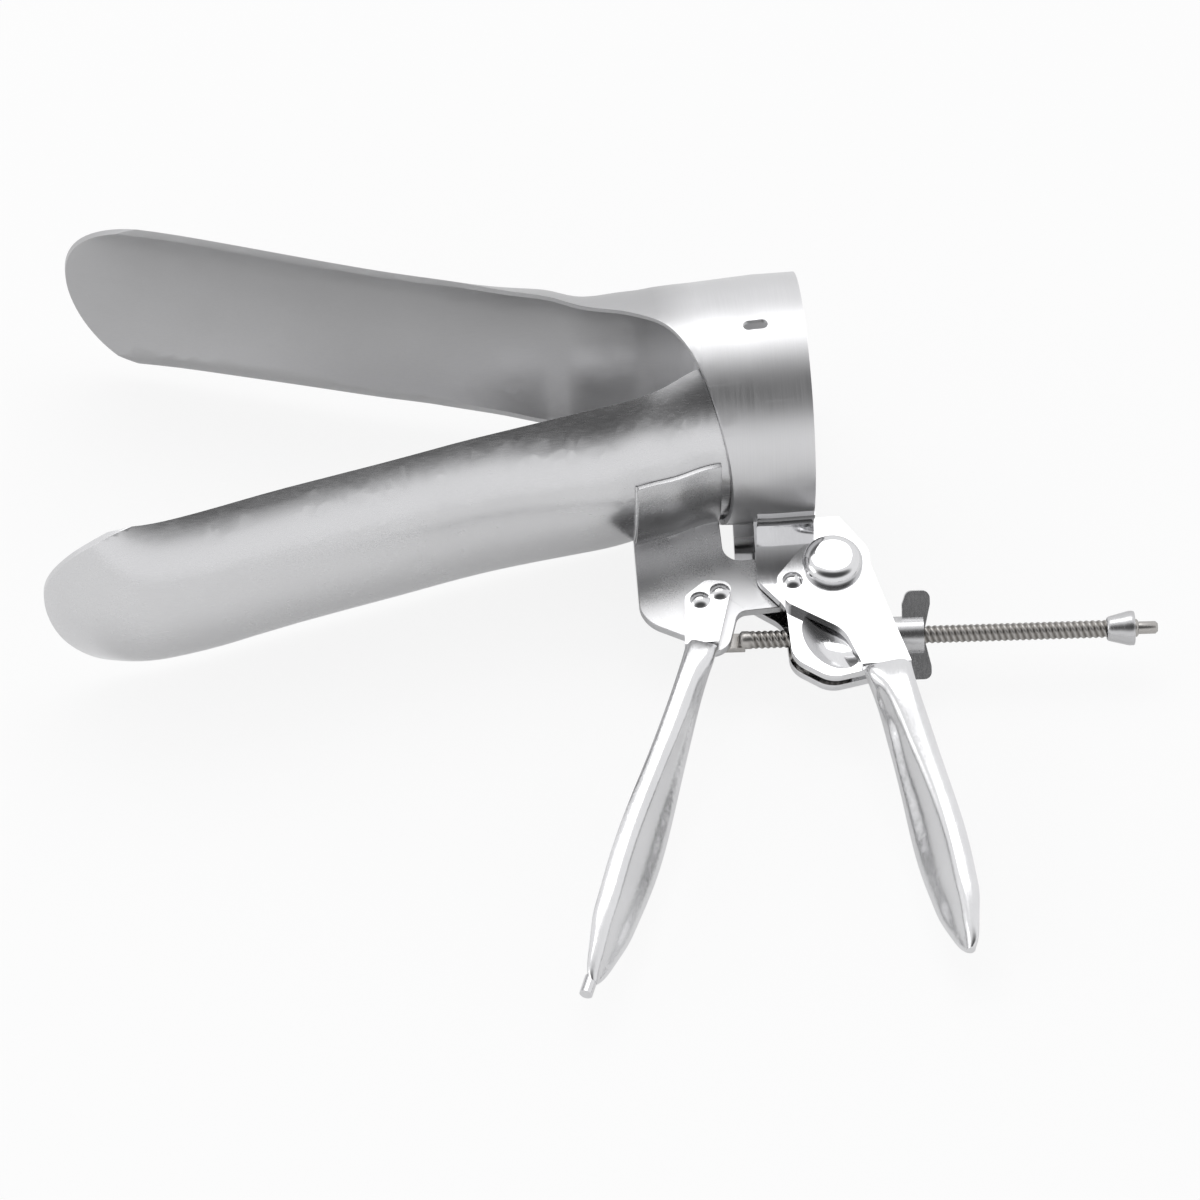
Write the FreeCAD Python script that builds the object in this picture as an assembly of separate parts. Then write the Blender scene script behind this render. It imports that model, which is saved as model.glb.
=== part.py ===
"""Bivalve speculum lying on its side, held open by its threaded rod and wing nut.

Frame, in millimetres: the origin is the centre of the ring's mouth. +X runs along the
ring's axis out of the mouth, so the blade tips are at -X. +Y is the way the upper blade
opens, the handles hang toward -Y, and +Z is up from the surface the object lies on.
Every hinge axis is parallel to Z.
"""
import FreeCAD, Part
import math
import os

V = FreeCAD.Vector

# Ring and upper blade. A profile lists (x, value) and is read as a smooth curve.
RING_R = 20.7
RING_FRONT_R = 20.1
RING_WALL = 0.9
MOUTH_L = 7.0
BLADE_T = 0.9
TIP_MARGIN = 0.4
RING_JOIN_X = -17.4
RING_RIM_Y = -8.0
RING_LAP = 1.5
RING_LAP_STEP = 0.03
RING_LAP_SINK = 0.15
RING_LAP_RISE = 0.6
RING_FOOT_X = -13.6
NOTCH_X = -8.0
NOTCH_GAP = 0.5
NOTCH_TOP_Y = -13.3
UPPER_RISE = 17.4
UPPER_TIP_X = -119.2
UPPER_TIP_LENGTH = 16.0
UPPER_TIP_W = 18.7
UPPER_END_X = -41.0
UPPER_WIDTHS = [(-120, 18.7), (-95, 18.0), (-75, 17.4), (-60, 17.2), (-46, 17.2), (-36, 17.8)]
UPPER_DEPTHS = [
    (-120, 5.2), (-100, 5.2), (-80, 5.2), (-62, 5.4), (-50, 7.6), (-42, 9.2), (-36, 9.8),
]
UPPER_LIFTS = [
    (-120, -2.1), (-115, -1.1), (-109, -0.1), (-99, 0.5), (-69, 0.9), (-57, 1.4), (-41, 1.5),
]
THROAT_EDGE = [
    (-36, 9.5), (-31, 7.4), (-27, 5.4), (-23.2, 2.6), (-20.4, -1.4), (-18.6, -5.0), (-17.4, -8.0),
]
THROAT_WIDTHS = [(-41, 17.45), (-36, 17.8), (-31, 18.5), (-27, 19.2), (-18, 26.0)]
THROAT_SINK = [(-36, 0.9), (-31, 0.9), (-27, 0.6), (-23.5, 0.3), (-21, 0.1), (-18, 0.0)]
THROAT_PLACES = [-36.0, -31.5, -27.5, -24.5, -22.0, -20.2, -19.0, -18.1, -17.4]
LIGHT_SLOT_L = 4.1
LIGHT_SLOT_W = 1.9
LIGHT_SLOT_X = -8.2

# Lower blade
LOWER_DROP = 11.8
LOWER_TIP_X = -128.0
LOWER_TIP_LENGTH = 18.4
LOWER_TIP_W = 18.3
LOWER_THROAT_X = -27.0
LOWER_WIDTHS = [(-129, 18.3), (-105, 18.3), (-75, 18.0), (-45, 17.9), (-30, 17.7)]
LOWER_DEPTHS = [
    (-129, 1.2), (-124, 4.2), (-118, 6.8), (-110, 8.6), (-98, 9.4), (-75, 9.2), (-55, 9.3),
    (-42, 10.2), (-34, 10.9), (-27, 10.9),
]
LOWER_LIFTS = [
    (-129, 4.4), (-126, 3.2), (-122, 1.4), (-118, -0.2), (-113, -1.6), (-107, -2.0), (-100, -1.8),
    (-89, -1.2), (-70, -0.8), (-56, -0.4), (-30, -0.4), (-25, 0.4), (-20, 2.4), (-16, 2.8),
]
LOWER_END_X = -7.6
NEST_START_X = -15.0
NEST_GAP = 0.5

# Main hinge: the two blades turn on it, and the closed parting plane lies this far from it
HINGE_X = 2.0
HINGE_Y = -29.5
HINGE_TO_PARTING = 24.5
HINGE_PIN_D = 5.0
HINGE_FIT = 0.05
HINGE_HEAD_D = 10.0
HINGE_HEAD_H = 2.5
HINGE_HEAD_ROUND = 2.1
HINGE_NUT_D = 8.0
HINGE_NUT_T = 1.6
HINGE_NUT_CHAMFER = 0.5
SPACER_D = 8.0

# Stack of sheets beside the ring, along Z
PLATE_T = 1.5
CHEEK_T = 1.5
HANDLE_T = 1.6
RUN_GAP = 0.3
ROD_Z = -12.0
CHEEK_GAP = 4.0
FOOT_T = 0.9
SADDLE_X = -29.6
SADDLE_TOP_Y = -13.0
SADDLE_LOW_Y = -28.0
SADDLE_H = 20.0
SADDLE_TOP_Z = 6.8
SADDLE_L = 14.2
LUG_R = 5.2
# Front bracket's corners: under the blade, at its waist, and round the pivot from its centre
BRACKET_SHOULDER_Y = -25.2
BRACKET_WAIST = (-14.2, -35.4)
EYE_CORNERS = [(3.8, -3.8), (-0.4, -3.4), (-2.0, -0.4), (-9.8, 4.1)]
BRACKET_ROUNDS = [0, 0, 3.0, 4.0, 3.5, 4.0, 2.0, 3.5, 2.0, 1.5, 6.0]
BAND_TOP_Z = -4.6

# Cheeks of the rear bracket, which carry the ring on the hinge
NEAR_FRONT_X = -9.5
FAR_FRONT_X = -12.6
CHEEK_TOP_Y = -12.0
NEAR_LOW_Y = -51.4
FAR_LOW_Y = -49.4
CHEEK_SHOULDER = (8.5, -26.0)
CHEEK_WAIST_Y = -33.4
LOBE_X = -6.4
LOBE_TOP_Y = -36.5
LOBE_FOOT_X = -0.5
LOBE_SIDE_RISE = 4.6
LOBE_HEEL_RISE = 1.6
CHEEK_BROW_Y = -30.5
CHEEK_BROW_SET = 1.1
CHEEK_ROUNDS = [0, 0, 5.0, 3.0, 2.0, 4.5, 4.5, 5.0, 4.0]
DISH_X = 0.4
DISH_Y = -43.6
DISH_W = 8.6
DISH_L = 13.0
DISH_DEPTH = 1.1
DISH_TURN = 24.0

# Threaded rod, its pivot and wing nut
ROD_D = 3.0
ROD_TILT = -3.0
ROD_PIVOT_X = -20.5
ROD_PIVOT_Y = -39.7
ROD_LENGTH = 75.0
TONGUE_T = 1.2
TONGUE_W = 5.0
TONGUE_L = 7.0
TONGUE_LAP = 1.0
PIVOT_PIN_D = 2.4
PIVOT_HEAD_D = 4.4
PIVOT_HEAD_T = 1.0
GUIDE_X = 8.0
GUIDE_T = 2.0
GUIDE_H = 13.0
GUIDE_RIVET_SET = 1.2
LUG_L = 1.4
GUIDE_SLOT_H = 7.2
GUIDE_SLOT_W = 3.5
NUT_HUB_D = 6.2
WASHER_NOSE_R = 4.5
WASHER_T = 1.8
WASHER_GAP = 0.1
NUT_LENGTH = 5.6
NUT_GAP = 0.3
NUT_BORE_FIT = 0.06
WING_SPAN = 14.6
WING_T = 1.8
WING_START = 2.2
WING_L = 4.6
WING_CORNER = 2.2
WING_SWEEP = 0.8
WING_ROUNDS = [0, 1.5, 1.2, 1.2, 0.8, 0]
WING_TURN = 40.0
STOP_D = 5.7
STOP_FRONT_D = 3.9
STOP_RIM_L = 1.0
STOP_L = 4.6
STOP_SET = 8.4
ROD_TIP_D = 2.1
ROD_TIP_L = 3.2

# Handles
FRONT_TOP = (-15.6, -28.5)
FRONT_TIP = (-45.3, -105.2)
FRONT_BOW = 0.3
FRONT_NECK_W = 5.2
FRONT_NECK_Y = -42.0
FRONT_GRIP_W = 10.6
FRONT_TAB_RIGHT = (-14.6, -30.4)
FRONT_TAB_LEFT = [(-23.1, -36.4), (-22.7, -32.6), (-19.0, -29.6)]
FRONT_TAB_ROUNDS = [1.6, 0, 0, 2.0, 1.6, 2.0]
REAR_TOP = (5.2, -26.0)
REAR_TIP = (16.6, -104.5)
REAR_BOW = 0.6
REAR_NECK_W = 8.0
REAR_NECK_Y = -50.0
REAR_SET = 1.1
REAR_TAB_TOP = [(-2.2, -25.1), (7.0, -24.7)]
REAR_TAB_RIGHT_Y = -38.5
REAR_TAB_LEFT_Y = -43.0
REAR_TAB_LEFT = [(-6.4, -36.6), (-7.6, -31.6)]
REAR_TAB_ROUNDS = [3.5, 3.5, 9.0, 0, 0, 6.0, 2.5, 2.0]
REAR_GRIP_W = 11.2
GRIP_FOLD = 54.0
GRIP_HOLLOW = 16.0
GRIP_BEND = 2.2
GRIP_Z = -13.0
# Along a grip: share of its length, widening, where the fold crosses it, and its drop
GRIP_SHAPE = [
    (0.00, 0.00, 1.15, 0.00), (0.04, 0.01, 0.78, 0.03), (0.09, 0.04, 0.58, 0.08),
    (0.17, 0.12, 0.47, 0.20), (0.31, 0.38, 0.36, 0.50), (0.46, 0.76, 0.27, 0.80),
    (0.62, 1.00, 0.25, 1.00),
]
# Its rounded end: share of its length and share of its width
GRIP_END = [(0.75, 0.92), (0.88, 0.70), (0.95, 0.46), (0.985, 0.28), (1.00, 0.14)]
GRIP_END_FOLD = 0.27
NUB_D = 2.2
NUB_L = 3.4
NUB_LAP = 1.0
FRONT_RIVETS = [(-20.3, -33.6), (-16.9, -32.2)]
REAR_RIVET = (-4.9, -32.3)
RIVET_D = 2.2
RIVET_HEAD_D = 3.4
RIVET_HEAD_H = 0.7
TAB_LAP = 0.2

# How far cutters reach past what they cut, and how finely the shapes are read
RING_RUN = 30.0
REACH = 100.0
SECTION_POINTS = 12
EDGE_ROUND = 0.35
STATION_STEP = 6.0
NEST_STEP = 4.0
CORE_RISE = 1.0

PLATE_TOP_Z = ROD_Z + CHEEK_GAP / 2 - RUN_GAP
PLATE_LOW_Z = PLATE_TOP_Z - PLATE_T
NEAR_LOW_Z = ROD_Z + CHEEK_GAP / 2
NEAR_TOP_Z = NEAR_LOW_Z + CHEEK_T
FAR_TOP_Z = ROD_Z - CHEEK_GAP / 2
FAR_LOW_Z = FAR_TOP_Z - CHEEK_T


def edge_height(x, rise):
    """Height of a blade's edge plane at x, for a blade that rises toward its tip."""
    a = math.radians(rise)
    return HINGE_Y + HINGE_TO_PARTING / math.cos(a) + (HINGE_X - x) * math.tan(a)


def arc_section(x, y_edge, half_w, depth, side, grow=0.0):
    """Points of an arc at x from edge to edge, bulging toward side (+1 is +Y)."""
    radius = (half_w ** 2 + depth ** 2) / (2 * depth)
    centre = y_edge + side * (depth - radius)
    r = radius + grow
    half_angle = math.acos((radius - depth) / r)
    points = []
    for i in range(SECTION_POINTS + 1):
        phi = half_angle * (2.0 * i / SECTION_POINTS - 1)
        points.append(V(x, centre + side * r * math.cos(phi), r * math.sin(phi)))
    return points


def spline_edge(points):
    curve = Part.BSplineCurve()
    curve.interpolate(points)
    return curve.toShape()


def band_wire(outer, inner):
    """Closed wire of a thin band between two open curves of points."""
    edges = [
        spline_edge(outer),
        Part.makeLine(outer[-1], inner[-1]),
        spline_edge(list(reversed(inner))),
        Part.makeLine(inner[0], outer[0]),
    ]
    return Part.Wire(edges)


def blade_shell(stations, side):
    """Thin trough lofted through (x, edge height, half width, depth) stations."""
    wires = []
    for x, y_edge, half_w, depth in stations:
        outer = arc_section(x, y_edge, half_w, depth, side)
        inner = arc_section(x, y_edge, half_w, depth, side, -BLADE_T)
        wires.append(band_wire(outer, inner))
    return Part.makeLoft(wires, True, False)


def blade_core(stations, side, grow, rise):
    """The trough filled in, up to a rise past its edge plane, for what seats on its outside."""
    up = V(0, -side * rise, 0)
    wires = []
    for x, y_edge, half_w, depth in stations:
        outer = arc_section(x, y_edge, half_w, depth, side, grow)
        wires.append(Part.Wire([
            spline_edge(outer), Part.makeLine(outer[-1], outer[-1] + up),
            Part.makeLine(outer[-1] + up, outer[0] + up), Part.makeLine(outer[0] + up, outer[0]),
        ]))
    return Part.makeLoft(wires, True, False)


def tip_outline(tip_x, length, half_w):
    """Solid whose plan has an elliptic end at tip_x, to round a blade's tip."""
    x = tip_x + length
    ellipse = Part.Ellipse(V(x, -REACH, half_w), V(tip_x, -REACH, 0), V(x, -REACH, 0))
    face = Part.Face(Part.Wire([ellipse.toShape()]))
    end = face.extrude(V(0, 2 * REACH, 0))
    body = Part.makeBox(2 * REACH, 2 * REACH, 2 * REACH, V(x, -REACH, -REACH))
    return end.fuse(body)


def cylinder_z(x, y, z0, z1, diameter):
    return Part.makeCylinder(diameter / 2, z1 - z0, V(x, y, z0))


def hole(x, y, diameter):
    """Cutter for a hole through the whole stack of sheets."""
    return cylinder_z(x, y, -RING_R, 0, diameter)


def plate(points, z0, z1, radii):
    """Flat plate between z0 and z1 with rounded corners: one radius for each point."""
    count = len(points)
    corners = []
    for i in range(count):
        here = V(points[i][0], points[i][1], z0)
        back = V(points[i - 1][0], points[i - 1][1], z0) - here
        ahead = V(points[(i + 1) % count][0], points[(i + 1) % count][1], z0) - here
        if radii[i] == 0:
            corners.append((here, None, here))
            continue
        half = back.getAngle(ahead) / 2
        back.normalize()
        ahead.normalize()
        reach = radii[i] / math.tan(half)
        middle = back + ahead
        middle.normalize()
        centre = here + middle * (radii[i] / math.sin(half))
        corners.append((here + back * reach, centre - middle * radii[i], here + ahead * reach))
    edges = []
    for i in range(count):
        start, mid, end = corners[i]
        if mid is not None:
            edges.append(Part.Arc(start, mid, end).toShape())
        edges.append(Part.makeLine(end, corners[(i + 1) % count][0]))
    return Part.Face(Part.Wire(edges)).extrude(V(0, 0, z1 - z0))


def read_profile(profile, x):
    """Value at x on the smooth curve through a profile's points, never past them."""
    if x <= profile[0][0]:
        return profile[0][1]
    if x >= profile[-1][0]:
        return profile[-1][1]
    steps = [
        (q[1] - p[1]) / (q[0] - p[0]) for p, q in zip(profile, profile[1:])
    ]
    slopes = [steps[0]]
    for before, after in zip(steps, steps[1:]):
        if before * after <= 0:
            slopes.append(0.0)
        else:
            slopes.append(2 * before * after / (before + after))
    slopes.append(steps[-1])
    k = max(i for i in range(len(steps)) if profile[i][0] <= x)
    span = profile[k + 1][0] - profile[k][0]
    t = (x - profile[k][0]) / span
    return (
        profile[k][1] * (1 + 2 * t) * (1 - t) ** 2
        + profile[k + 1][1] * t * t * (3 - 2 * t)
        + slopes[k] * span * t * (1 - t) ** 2
        - slopes[k + 1] * span * t * t * (1 - t)
    )


def spaced(start, end, step):
    """Even places from start to end, about a step apart."""
    count = max(1, round((end - start) / step))
    return [start + (end - start) * i / count for i in range(count + 1)]


def upper_stations():
    """Stations of the upper blade from its tip to where its throat begins."""
    rows = []
    for x in spaced(UPPER_TIP_X - 1, UPPER_END_X, STATION_STEP):
        y_edge = edge_height(x, UPPER_RISE) + read_profile(UPPER_LIFTS, x)
        rows.append((x, y_edge, read_profile(UPPER_WIDTHS, x), read_profile(UPPER_DEPTHS, x)))
    return rows


def throat_stations():
    """Stations from the blade to the ring's front, where the arc closes round the tube."""
    rows = []
    for x in THROAT_PLACES:
        y_edge = read_profile(THROAT_EDGE, x)
        crown = RING_FRONT_R - read_profile(THROAT_SINK, x) - RING_LAP_STEP
        half_w = min(math.sqrt(crown ** 2 - y_edge ** 2), read_profile(THROAT_WIDTHS, x))
        rows.append((x, y_edge, half_w, crown - y_edge))
    lap_crown = RING_FRONT_R - RING_LAP_SINK
    lap_edge = RING_RIM_Y + RING_LAP_RISE
    lap_w = math.sqrt(lap_crown ** 2 - lap_edge ** 2)
    rows.append((RING_JOIN_X + RING_LAP, lap_edge, lap_w, lap_crown - lap_edge))
    return rows


def front_radius(x):
    """Outer radius of the flared ring at x."""
    share = (x - RING_JOIN_X) / (-MOUTH_L - RING_JOIN_X)
    return RING_FRONT_R + share * (RING_R - RING_FRONT_R)


def ring_solid(radius_drop, start_x, end_x=0.0):
    """Round solid of the ring: flared in front, then straight round the mouth."""
    r0 = front_radius(start_x) - radius_drop
    r1 = RING_R - radius_drop
    mouth_x = -MOUTH_L
    flare = Part.makeCone(r0, r1, mouth_x - start_x, V(start_x, 0, 0), V(1, 0, 0))
    straight = Part.makeCylinder(r1, end_x - mouth_x, V(mouth_x, 0, 0), V(1, 0, 0))
    return flare.fuse(straight)


def build_upper_blade():
    trough = blade_shell(upper_stations() + throat_stations(), 1)
    trough = trough.common(tip_outline(UPPER_TIP_X, UPPER_TIP_LENGTH, UPPER_TIP_W + TIP_MARGIN))
    ring = ring_solid(0, RING_JOIN_X).cut(ring_solid(RING_WALL, RING_JOIN_X))
    foot = 2 * RING_R
    slope = (RING_FOOT_X - RING_JOIN_X) / (-RING_FRONT_R - RING_RIM_Y)
    ahead = RING_JOIN_X - RING_R
    wedge = Part.Face(Part.makePolygon([
        V(ahead, RING_RIM_Y, -foot),
        V(RING_JOIN_X, RING_RIM_Y, -foot),
        V(RING_JOIN_X + slope * (-foot - RING_RIM_Y), -foot, -foot),
        V(ahead, -foot, -foot),
        V(ahead, RING_RIM_Y, -foot),
    ])).extrude(V(0, 0, 2 * foot))
    ring = ring.cut(wedge)
    blade = trough.fuse(ring)
    notch = Part.makeBox(RING_R, RING_R, PLATE_T + 2 * NOTCH_GAP,
                         V(NOTCH_X - RING_R, NOTCH_TOP_Y - RING_R, PLATE_LOW_Z - NOTCH_GAP))
    blade = blade.cut(notch)
    return blade.cut(light_slot()).removeSplitter()


def light_slot():
    """Small oval hole through the ring's wall on the side that faces up."""
    half = (LIGHT_SLOT_L - LIGHT_SLOT_W) / 2
    ends = [
        Part.makeCylinder(LIGHT_SLOT_W / 2, RING_R, V(LIGHT_SLOT_X + s * half, 0, RING_R / 2))
        for s in (-1, 1)
    ]
    middle = Part.makeBox(2 * half, LIGHT_SLOT_W, RING_R,
                          V(LIGHT_SLOT_X - half, -LIGHT_SLOT_W / 2, RING_R / 2))
    return ends[0].fuse(ends[1]).fuse(middle)


def lower_stations():
    """Stations of the lower blade from its curled tip to its end inside the ring."""
    nest_r = RING_FRONT_R - RING_WALL - NEST_GAP
    rows = []
    for x in spaced(LOWER_TIP_X - 1, LOWER_THROAT_X, STATION_STEP):
        y_edge = edge_height(x, -LOWER_DROP) + read_profile(LOWER_LIFTS, x)
        rows.append((x, y_edge, read_profile(LOWER_WIDTHS, x), read_profile(LOWER_DEPTHS, x)))
    throat = rows[-1]
    start_crown = throat[1] - throat[3]
    for x in spaced(LOWER_THROAT_X, LOWER_END_X, NEST_STEP)[1:]:
        share = min(1.0, (x - LOWER_THROAT_X) / (NEST_START_X - LOWER_THROAT_X))
        ease = share * share * (3 - 2 * share)
        y_edge = edge_height(x, -LOWER_DROP) + read_profile(LOWER_LIFTS, x)
        crown = start_crown + (-nest_r - start_crown) * ease
        nest_w = math.sqrt(nest_r ** 2 - y_edge ** 2)
        rows.append((x, y_edge, throat[2] + (nest_w - throat[2]) * ease, y_edge - crown))
    return rows


def build_lower_blade():
    trough = blade_shell(lower_stations(), -1)
    return trough.common(tip_outline(LOWER_TIP_X, LOWER_TIP_LENGTH, LOWER_TIP_W + TIP_MARGIN))


def build_front_bracket():
    near = [row for row in lower_stations() if row[0] > SADDLE_X - 2 * SADDLE_L]
    core = blade_core(near, -1, 0.0, 2 * CORE_RISE)
    core_out = blade_core(near, -1, FOOT_T, CORE_RISE)
    saddle_end = SADDLE_X + SADDLE_L
    outline = [
        (SADDLE_X, SADDLE_TOP_Y), (saddle_end, SADDLE_TOP_Y), (saddle_end, BRACKET_SHOULDER_Y),
        (HINGE_X, HINGE_Y + LUG_R), (HINGE_X + LUG_R, HINGE_Y), (HINGE_X, HINGE_Y - LUG_R),
        BRACKET_WAIST,
    ]
    outline += [(ROD_PIVOT_X + dx, ROD_PIVOT_Y + dy) for dx, dy in EYE_CORNERS]
    body = plate(outline, PLATE_LOW_Z, PLATE_TOP_Z, BRACKET_ROUNDS)
    saddle = Part.makeBox(SADDLE_L, SADDLE_H, SADDLE_TOP_Z - PLATE_LOW_Z,
                          V(SADDLE_X, SADDLE_LOW_Y, PLATE_LOW_Z))
    foot = saddle.common(core_out)
    body = body.fuse(foot).cut(core)
    body = body.cut(hole(HINGE_X, HINGE_Y, HINGE_PIN_D + 2 * HINGE_FIT))
    body = body.cut(hole(ROD_PIVOT_X, ROD_PIVOT_Y, PIVOT_PIN_D))
    for x, y in FRONT_RIVETS:
        body = body.cut(hole(x, y, RIVET_D))
    return body.removeSplitter()


def cheek(z0, z1, front_x, low_y):
    """One cheek of the rear bracket, cut to seat on the ring."""
    outline = [
        (front_x, CHEEK_TOP_Y), (0.0, CHEEK_TOP_Y), CHEEK_SHOULDER, (GUIDE_X, CHEEK_WAIST_Y),
        (GUIDE_X, low_y + LOBE_HEEL_RISE), (LOBE_FOOT_X, low_y),
        (LOBE_X, low_y + LOBE_SIDE_RISE), (LOBE_X, LOBE_TOP_Y),
        (front_x - CHEEK_BROW_SET, CHEEK_BROW_Y),
    ]
    body = plate(outline, z0, z1, CHEEK_ROUNDS)
    body = body.cut(ring_solid(0, -RING_RUN, RING_RUN / 2))
    body = body.cut(hole(HINGE_X, HINGE_Y, HINGE_PIN_D))
    for x, y in guide_rivet_places():
        body = body.cut(hole(x, y, RIVET_D))
    return body


def build_near_cheek():
    body = cheek(NEAR_LOW_Z, NEAR_TOP_Z, NEAR_FRONT_X, NEAR_LOW_Y)
    band = ring_solid(-FOOT_T, NEAR_FRONT_X).cut(ring_solid(0, -RING_RUN, RING_RUN / 2))
    window = Part.makeBox(-NEAR_FRONT_X, RING_R, BAND_TOP_Z - NEAR_LOW_Z,
                          V(NEAR_FRONT_X, CHEEK_TOP_Y - RING_R, NEAR_LOW_Z))
    body = body.fuse(band.common(window))
    body = body.cut(hole(*REAR_RIVET, RIVET_D))
    return body.cut(lobe_dish()).removeSplitter()


def lobe_dish():
    """Shallow oval dish pressed into the near cheek's lobe."""
    radius = (DISH_W ** 2 / 4 + DISH_DEPTH ** 2) / (2 * DISH_DEPTH)
    ball = Part.makeSphere(radius, V(0, 0, radius - DISH_DEPTH))
    stretch = FreeCAD.Matrix()
    stretch.scale(1.0, DISH_L / DISH_W, 1.0)
    oval = ball.transformGeometry(stretch)
    oval.rotate(V(0, 0, 0), V(0, 0, 1), DISH_TURN)
    oval.translate(V(DISH_X, DISH_Y, NEAR_TOP_Z))
    return oval


def build_far_cheek():
    return cheek(FAR_LOW_Z, FAR_TOP_Z, FAR_FRONT_X, FAR_LOW_Y).removeSplitter()


def rod_point(distance):
    """Point on the rod's axis at a distance from its pivot."""
    a = math.radians(ROD_TILT)
    return V(ROD_PIVOT_X + distance * math.cos(a), ROD_PIVOT_Y + distance * math.sin(a), ROD_Z)


def guide_centre_y():
    """Height at which the rod crosses the guide."""
    a = math.radians(ROD_TILT)
    return ROD_PIVOT_Y + (GUIDE_X - GUIDE_T / 2 - ROD_PIVOT_X) * math.tan(a)


def guide_rivet_places():
    y = guide_centre_y()
    x = GUIDE_X - GUIDE_T - GUIDE_RIVET_SET
    return [(x, y + GUIDE_H / 2 - LUG_L), (x, y - GUIDE_H / 2 + LUG_L)]


def build_rod_guide():
    """Bridge between the cheeks, slotted for the rod: the wing nut bears on it."""
    y = guide_centre_y()
    start = GUIDE_X - GUIDE_T
    body = Part.makeBox(GUIDE_T, GUIDE_H, CHEEK_GAP, V(start, y - GUIDE_H / 2, FAR_TOP_Z))
    for x, ry in guide_rivet_places():
        corner = V(x - LUG_L, ry - LUG_L, FAR_TOP_Z)
        body = body.fuse(Part.makeBox(GUIDE_T + LUG_L, 2 * LUG_L, CHEEK_GAP, corner))
    slot = Part.makeBox(4 * GUIDE_T, GUIDE_SLOT_H, GUIDE_SLOT_W,
                        V(GUIDE_X - 3 * GUIDE_T, y - GUIDE_SLOT_H / 2, ROD_Z - GUIDE_SLOT_W / 2))
    body = body.cut(slot)
    for x, ry in guide_rivet_places():
        body = body.cut(hole(x, ry, RIVET_D))
    return body.removeSplitter()


def dome(x, y, z, diameter, height, up=1):
    """Low round head standing on z."""
    r = diameter / 2
    ball_r = (r * r + height * height) / (2 * height)
    ball = Part.makeSphere(ball_r, V(x, y, z + up * (height - ball_r)))
    slab = Part.makeBox(4 * r, 4 * r, height, V(x - 2 * r, y - 2 * r, z if up > 0 else z - height))
    return ball.common(slab)


def top_rivet(x, y, z0, z1):
    """Rivet with a low head on top and a flush lower end."""
    return cylinder_z(x, y, z0, z1, RIVET_D).fuse(dome(x, y, z1, RIVET_HEAD_D, RIVET_HEAD_H, 1))


def bottom_rivet(x, y, z0, z1):
    """Rivet with a low head underneath and a flush top, where a handle lies over it."""
    return cylinder_z(x, y, z0, z1, RIVET_D).fuse(dome(x, y, z0, RIVET_HEAD_D, RIVET_HEAD_H, -1))


def build_hinge_screw():
    """Screw with a wide head whose top edge is well rounded."""
    top = NEAR_TOP_Z + HANDLE_T
    shank = cylinder_z(HINGE_X, HINGE_Y, FAR_LOW_Z - HINGE_NUT_T, top, HINGE_PIN_D)
    head = cylinder_z(HINGE_X, HINGE_Y, top, top + HINGE_HEAD_H, HINGE_HEAD_D)
    rim = [e for e in head.Edges if e.CenterOfMass.z > top + HINGE_HEAD_H - 0.01 and e.Closed]
    return shank.fuse(head.makeFillet(HINGE_HEAD_ROUND, rim))


def build_hinge_nut():
    disc = cylinder_z(HINGE_X, HINGE_Y, FAR_LOW_Z - HINGE_NUT_T, FAR_LOW_Z, HINGE_NUT_D)
    rim = [e for e in disc.Edges if e.CenterOfMass.z < FAR_LOW_Z - HINGE_NUT_T + 0.01 and e.Closed]
    disc = disc.makeChamfer(HINGE_NUT_CHAMFER, rim)
    return disc.cut(hole(HINGE_X, HINGE_Y, HINGE_PIN_D))


def build_hinge_spacer():
    top = PLATE_LOW_Z - RUN_GAP
    ring = cylinder_z(HINGE_X, HINGE_Y, FAR_TOP_Z, top, SPACER_D)
    return ring.cut(hole(HINGE_X, HINGE_Y, HINGE_PIN_D))


def fold_angle(s, width, crease):
    """Slope, at s from its outer edge, of a strip folded down past the crease."""
    line = crease * width
    share = min(1.0, max(0.0, (s - line) / GRIP_BEND + 0.5))
    across = min(1.0, max(0.0, (s - line) / max(width - line, GRIP_BEND)))
    slope = GRIP_FOLD + GRIP_HOLLOW * math.cos(math.pi * across)
    return math.radians(slope) * share * share * (3 - 2 * share)


def handle_section(centre, outer, width, crease):
    """Closed wire of a strip's section, from its outer edge in, centred between its edges."""
    step = width / SECTION_POINTS
    middle = [V(0, 0, 0)]
    for i in range(SECTION_POINTS):
        a = fold_angle((i + 0.5) * step, width, crease)
        middle.append(middle[-1] - outer * (step * math.cos(a)) - V(0, 0, step * math.sin(a)))
    shift = centre - middle[-1] * 0.5
    top = []
    low = []
    for i, point in enumerate(middle):
        a = fold_angle(i * step, width, crease)
        normal = V(0, 0, math.cos(a)) - outer * math.sin(a)
        edge = abs(2.0 * i / SECTION_POINTS - 1)
        half_t = HANDLE_T * (0.5 - EDGE_ROUND * edge ** 6)
        top.append(point + shift + normal * half_t)
        low.append(point + shift - normal * half_t)
    return band_wire(top, low)


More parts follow.
